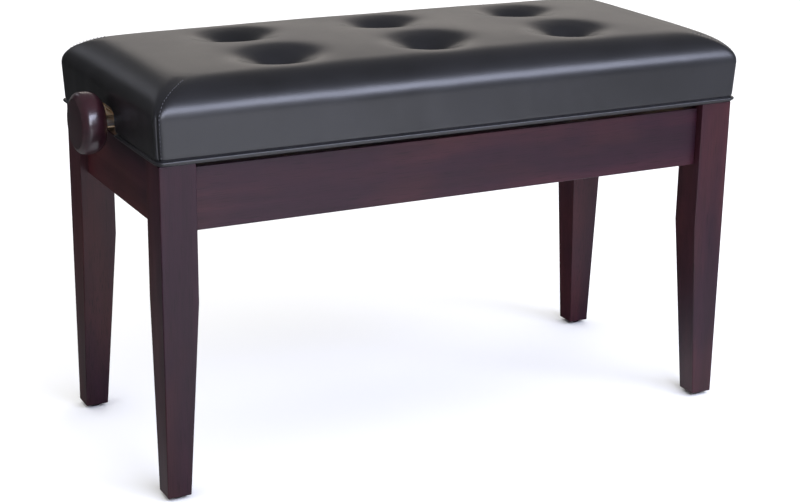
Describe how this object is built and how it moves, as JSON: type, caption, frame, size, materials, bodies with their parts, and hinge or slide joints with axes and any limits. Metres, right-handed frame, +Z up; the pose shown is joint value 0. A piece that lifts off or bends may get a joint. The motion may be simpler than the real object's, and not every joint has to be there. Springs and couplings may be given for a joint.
{
  "type": "piano bench",
  "caption": "Height-adjustable piano bench: tufted black vinyl seat on a scissor lift worked by end knobs, on stained wood legs tapering inwards.",
  "frame": {"origin": "on the floor under the middle of the bench", "axes": "+X along the bench to the right, +Y from front to back, +Z up"},
  "size_m": [0.82, 0.3328, 0.4776],
  "materials": {
    "stained_wood": "red-brown stained hardwood, satin lacquer",
    "knob_lacquer": "turned wood, gloss dark red lacquer",
    "softwood": "raw sawn pine",
    "plywood": "raw plywood",
    "vinyl": "black satin vinyl, fine grain",
    "welt_vinyl": "black vinyl welt over cord",
    "zinc_steel": "zinc-plated steel",
    "black_steel": "black painted steel",
    "nylon": "black moulded nylon"
  },
  "bodies": {
    "base": {"leg_front_left": "stained_wood", "leg_front_right": "stained_wood", "leg_rear_left": "stained_wood", "leg_rear_right": "stained_wood", "glide_front_left": "nylon", "glide_front_right": "nylon", "glide_rear_left": "nylon", "glide_rear_right": "nylon", "corner_block_front_left": "softwood", "corner_block_front_right": "softwood", "corner_block_rear_left": "softwood", "corner_block_rear_right": "softwood", "apron_front": "stained_wood", "apron_rear": "stained_wood", "apron_left": "stained_wood", "apron_right": "stained_wood", "base_rail_front": "zinc_steel", "base_rail_rear": "zinc_steel", "bearing_plate_left": "zinc_steel", "bearing_plate_right": "zinc_steel"},
    "seat": {"seat_rail_front": "softwood", "seat_rail_rear": "softwood", "seat_rail_left": "softwood", "seat_rail_right": "softwood", "seat_board": "plywood", "cover_band": "vinyl", "welt_front": "welt_vinyl", "welt_rear": "welt_vinyl", "cushion": "vinyl", "button_front_left": "vinyl", "button_front_middle": "vinyl", "button_front_right": "vinyl", "button_rear_left": "vinyl", "button_rear_middle": "vinyl", "button_rear_right": "vinyl", "lift_rail_front": "zinc_steel", "lift_rail_rear": "zinc_steel"},
    "screw": {"lead_screw": "zinc_steel", "knob_left": "knob_lacquer", "knob_right": "knob_lacquer", "collar_left": "zinc_steel", "collar_right": "zinc_steel"},
    "carriage": {"nut_carriage": "black_steel"},
    "outer_arms": {"arm_outer_front": "zinc_steel", "arm_outer_rear": "zinc_steel", "slide_pin_front": "zinc_steel", "slide_pin_rear": "zinc_steel", "centre_pin_front": "zinc_steel", "centre_pin_rear": "zinc_steel", "lower_shaft": "zinc_steel"},
    "inner_arms": {"arm_inner_front": "zinc_steel", "arm_inner_rear": "zinc_steel", "upper_pin_front": "zinc_steel", "upper_pin_rear": "zinc_steel", "slide_shaft": "zinc_steel"}
  },
  "joints": [
    {"name": "seat_lift", "type": "slide", "parent": "base", "child": "seat", "axis": [0, 0, 1], "range_m": [0, 0.09]},
    {"name": "screw_turn", "type": "hinge", "parent": "base", "child": "screw", "pos_m": [0, 0, 0.401], "axis": [1, 0, 0], "range_deg": [0, 4165.1]},
    {"name": "carriage_slide", "type": "slide", "parent": "base", "child": "carriage", "axis": [-1, 0, 0], "range_m": [0, 0.02315]},
    {"name": "outer_arm_swing", "type": "hinge", "parent": "base", "child": "outer_arms", "pos_m": [-0.18, 0, 0.352], "axis": [0, -1, 0], "range_deg": [0, 14.84]},
    {"name": "inner_arm_swing", "type": "hinge", "parent": "seat", "child": "inner_arms", "pos_m": [-0.18, 0, 0.39587], "axis": [0, 1, 0], "range_deg": [0, 14.84]}
  ],
  "couplings": [
    {"joint": "screw_turn", "follows": "seat_lift", "rad_per_m": 807.53},
    {"joint": "carriage_slide", "follows": "seat_lift", "ratio": 0.25704},
    {"joint": "outer_arm_swing", "follows": "seat_lift", "rad_per_m": 2.8761},
    {"joint": "inner_arm_swing", "follows": "seat_lift", "rad_per_m": 2.8761}
  ]
}
